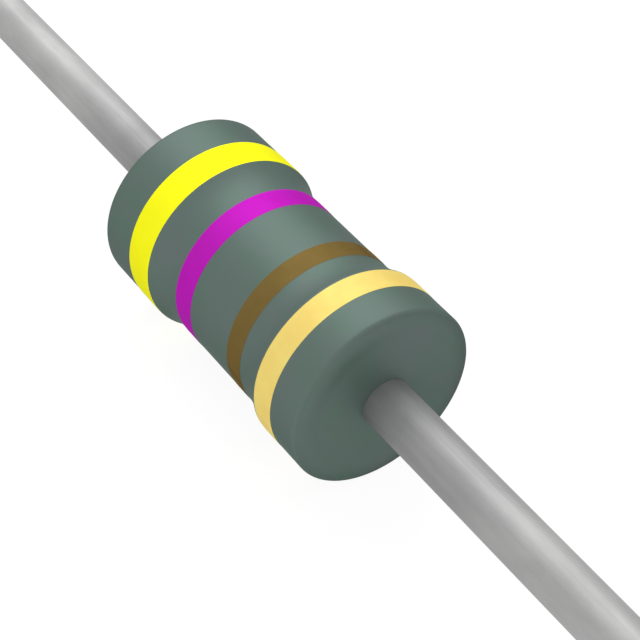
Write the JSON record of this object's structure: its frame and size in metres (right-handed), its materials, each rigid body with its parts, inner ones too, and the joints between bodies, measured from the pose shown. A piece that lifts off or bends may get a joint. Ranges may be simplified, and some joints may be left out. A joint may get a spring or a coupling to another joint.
{
  "type": "axial resistor",
  "caption": "Axial film resistor: coated cylindrical body with two end bulges, painted colour bands and a straight wire lead out of each end.",
  "frame": {"origin": "middle of the coated body, on its axis", "axes": "+X along the axis, out of the end with the gold band; the body is round about X, so +Z is any side"},
  "size_m": [0.0592, 0.0018, 0.0018],
  "materials": {
    "lacquer": "semi-gloss grey-green lacquer",
    "alumina": "matt",
    "carbon_film": "dull dark carbon",
    "cap_steel": "plated, pressed",
    "tinned_wire": "satin tin plate on copper",
    "yellow_paint": "semi-gloss",
    "violet_paint": "semi-gloss",
    "brown_paint": "semi-gloss",
    "gold_paint": "pale metallic gold"
  },
  "bodies": {
    "root": {"coating": "lacquer", "ceramic_core": "alumina", "resistive_film": "carbon_film", "left_end_cap": "cap_steel", "right_end_cap": "cap_steel", "left_lead": "tinned_wire", "right_lead": "tinned_wire", "band_first_digit": "yellow_paint", "band_second_digit": "violet_paint", "band_multiplier": "brown_paint", "band_tolerance": "gold_paint"}
  },
  "joints": []
}
